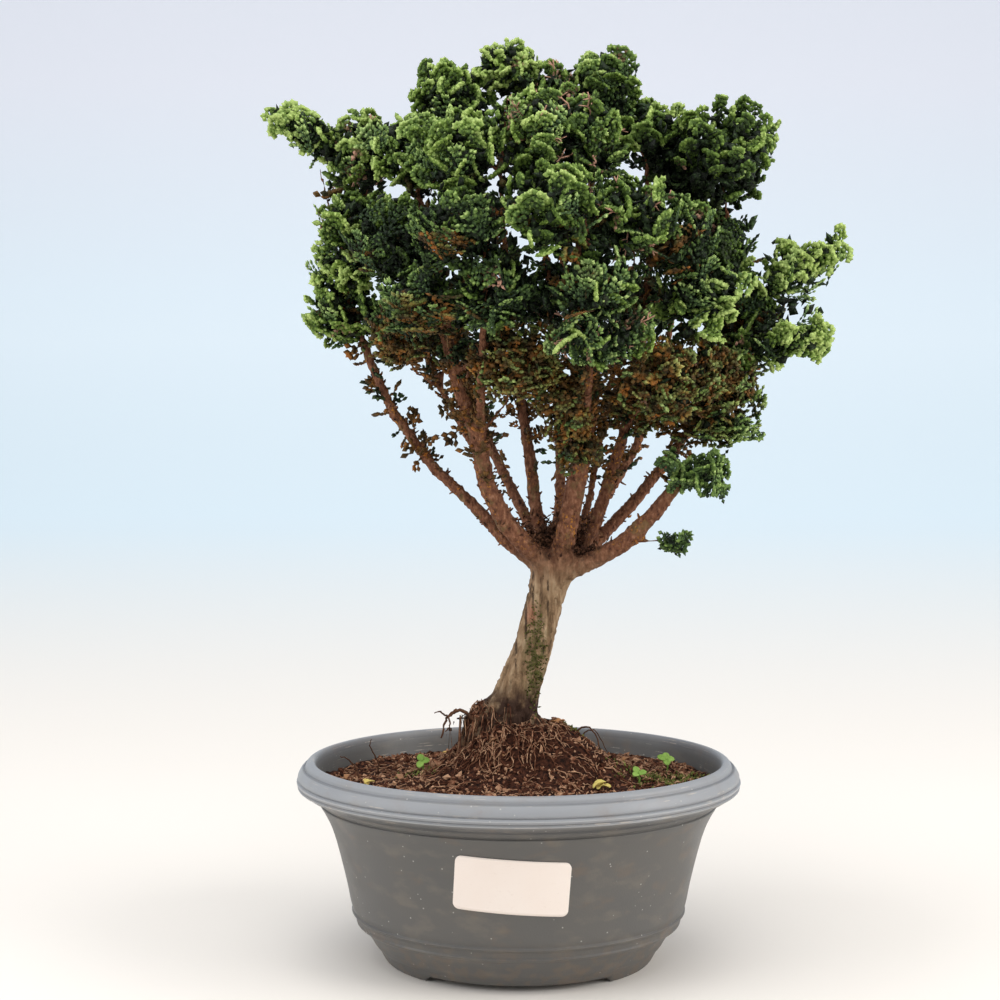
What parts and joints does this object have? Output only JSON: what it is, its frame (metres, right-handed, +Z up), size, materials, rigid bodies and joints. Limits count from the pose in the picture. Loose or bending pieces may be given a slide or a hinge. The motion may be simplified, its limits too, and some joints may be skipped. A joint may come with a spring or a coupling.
{
  "type": "hinoki cypress bonsai",
  "caption": "Hinoki cypress bonsai with a leaning trunk and a dense crown of fan-like sprays, standing in an oval plastic training pot.",
  "frame": {"origin": "on the table, under the middle of the whole plant's box", "axes": "+Z up; -Y is the front, where the label is; +X to the right as seen from the front"},
  "size_m": [0.2474, 0.1732, 0.3894],
  "materials": {
    "pot_plastic": "grey moulded plastic, matt, dusty, with brownish stains and pale mineral lines on the rim",
    "label_paper": "bare cream sticker, smooth",
    "peat": "moist dark red-brown peat, matt and fibrous",
    "bark": "flaking red-brown to grey-brown bark, matt",
    "foliage_green": "living scale leaves, dark green with yellow-green tips, soft sheen",
    "seedling_leaf": "tender bright green leaves, soft sheen"
  },
  "bodies": {
    "root": {"foliage_back_left": "foliage_green", "foliage_back_left_high": "foliage_green", "foliage_back_left_low": "foliage_green", "foliage_back_left_mid": "foliage_green", "foliage_back_low": "foliage_green", "foliage_back_mid": "foliage_green", "foliage_back_mid_high": "foliage_green", "foliage_back_right": "foliage_green", "foliage_back_right_high": "foliage_green", "foliage_back_right_low": "foliage_green", "foliage_back_right_mid": "foliage_green", "foliage_crest_left": "foliage_green", "foliage_crest_mid": "foliage_green", "foliage_crest_right": "foliage_green", "foliage_crest_right_front": "foliage_green", "foliage_dome_inner": "foliage_green", "foliage_dome_right": "foliage_green", "foliage_front_far_right": "foliage_green", "foliage_front_left": "foliage_green", "foliage_front_left_high": "foliage_green", "foliage_front_left_low": "foliage_green", "foliage_front_mid": "foliage_green", "foliage_front_mid_high": "foliage_green", "foliage_front_mid_low": "foliage_green", "foliage_front_right": "foliage_green", "foliage_front_right_high": "foliage_green", "foliage_front_right_low": "foliage_green", "foliage_front_spray": "foliage_green", "foliage_hanging": "foliage_green", "foliage_inner_right": "foliage_green", "foliage_left_back_low": "foliage_green", "foliage_left_crest": "foliage_green", "foliage_left_front": "foliage_green", "foliage_left_high": "foliage_green", "foliage_left_low": "foliage_green", "foliage_left_mid": "foliage_green", "foliage_left_skirt": "foliage_green", "foliage_left_spray": "foliage_green", "foliage_right_end": "foliage_green", "foliage_right_front": "foliage_green", "foliage_right_low": "foliage_green", "foliage_right_mid": "foliage_green", "foliage_right_skirt": "foliage_green", "foliage_right_tuft": "foliage_green", "foliage_right_under": "foliage_green", "foliage_sprig": "foliage_green", "foliage_tip_left": "foliage_green", "foliage_tip_right": "foliage_green", "foliage_top_tip": "foliage_green", "foliage_under_dome": "foliage_green", "foliage_under_left": "foliage_green", "foliage_under_right": "foliage_green", "label": "label_paper", "pot": "pot_plastic", "seedling_1": "seedling_leaf", "seedling_2": "seedling_leaf", "seedling_3": "seedling_leaf", "soil": "peat", "trunk_and_branches": "bark"}
  },
  "joints": []
}
